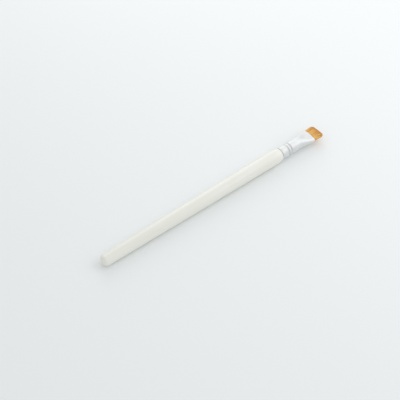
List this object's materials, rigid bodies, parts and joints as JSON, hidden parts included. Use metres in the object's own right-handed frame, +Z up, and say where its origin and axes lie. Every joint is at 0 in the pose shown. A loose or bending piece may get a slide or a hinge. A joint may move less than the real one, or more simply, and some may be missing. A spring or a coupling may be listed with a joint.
{
  "type": "lens cleaning brush",
  "caption": "Short flat lens brush: a tapered round lacquered handle, a crimped metal ferrule pressed flat at its mouth, and a short wide golden tuft that flexes.",
  "frame": {"origin": "on the surface that the brush lies on, below the middle of the brush's box", "axes": "+X from the tail of the handle to the tuft, +Y across the width of the flat tuft, +Z up from the surface. The brush's own axis rises 0.52 degrees towards the tuft, because its tapered handle lies on its side"},
  "size_m": [0.18, 0.0116, 0.0105],
  "materials": {
    "handle_lacquer": "turned wood under a smooth cream white gloss lacquer with a faint pearl",
    "ferrule_metal": "bright satin aluminium, drawn tube with two crimped rings",
    "heel_resin": "cured amber resin",
    "tuft_filament": "fine golden orange synthetic filaments with paler and redder ones among them"
  },
  "bodies": {
    "brush": {"handle": "handle_lacquer", "ferrule": "ferrule_metal", "heel_resin": "heel_resin", "root_pack": "tuft_filament"},
    "tuft": {"lower_lock_01": "tuft_filament", "lower_lock_02": "tuft_filament", "lower_lock_03": "tuft_filament", "lower_lock_04": "tuft_filament", "lower_lock_05": "tuft_filament", "lower_lock_06": "tuft_filament", "lower_lock_07": "tuft_filament", "lower_lock_08": "tuft_filament", "lower_lock_09": "tuft_filament", "lower_lock_10": "tuft_filament", "lower_lock_11": "tuft_filament", "lower_lock_12": "tuft_filament", "lower_lock_13": "tuft_filament", "lower_lock_14": "tuft_filament", "lower_lock_15": "tuft_filament", "middle_lock_01": "tuft_filament", "middle_lock_02": "tuft_filament", "middle_lock_03": "tuft_filament", "middle_lock_04": "tuft_filament", "middle_lock_05": "tuft_filament", "middle_lock_06": "tuft_filament", "middle_lock_07": "tuft_filament", "middle_lock_08": "tuft_filament", "middle_lock_09": "tuft_filament", "middle_lock_10": "tuft_filament", "middle_lock_11": "tuft_filament", "middle_lock_12": "tuft_filament", "middle_lock_13": "tuft_filament", "middle_lock_14": "tuft_filament", "middle_lock_15": "tuft_filament", "upper_lock_01": "tuft_filament", "upper_lock_02": "tuft_filament", "upper_lock_03": "tuft_filament", "upper_lock_04": "tuft_filament", "upper_lock_05": "tuft_filament", "upper_lock_06": "tuft_filament", "upper_lock_07": "tuft_filament", "upper_lock_08": "tuft_filament", "upper_lock_09": "tuft_filament", "upper_lock_10": "tuft_filament", "upper_lock_11": "tuft_filament", "upper_lock_12": "tuft_filament", "upper_lock_13": "tuft_filament", "upper_lock_14": "tuft_filament", "upper_lock_15": "tuft_filament"}
  },
  "joints": [
    {"name": "bristle_flex", "type": "hinge", "parent": "brush", "child": "tuft", "pos_m": [0.08129, 0, 0.00554], "axis": [0, 1, 0], "range_deg": [-35, 35], "stiffness_Nm_per_rad": 0.003}
  ]
}
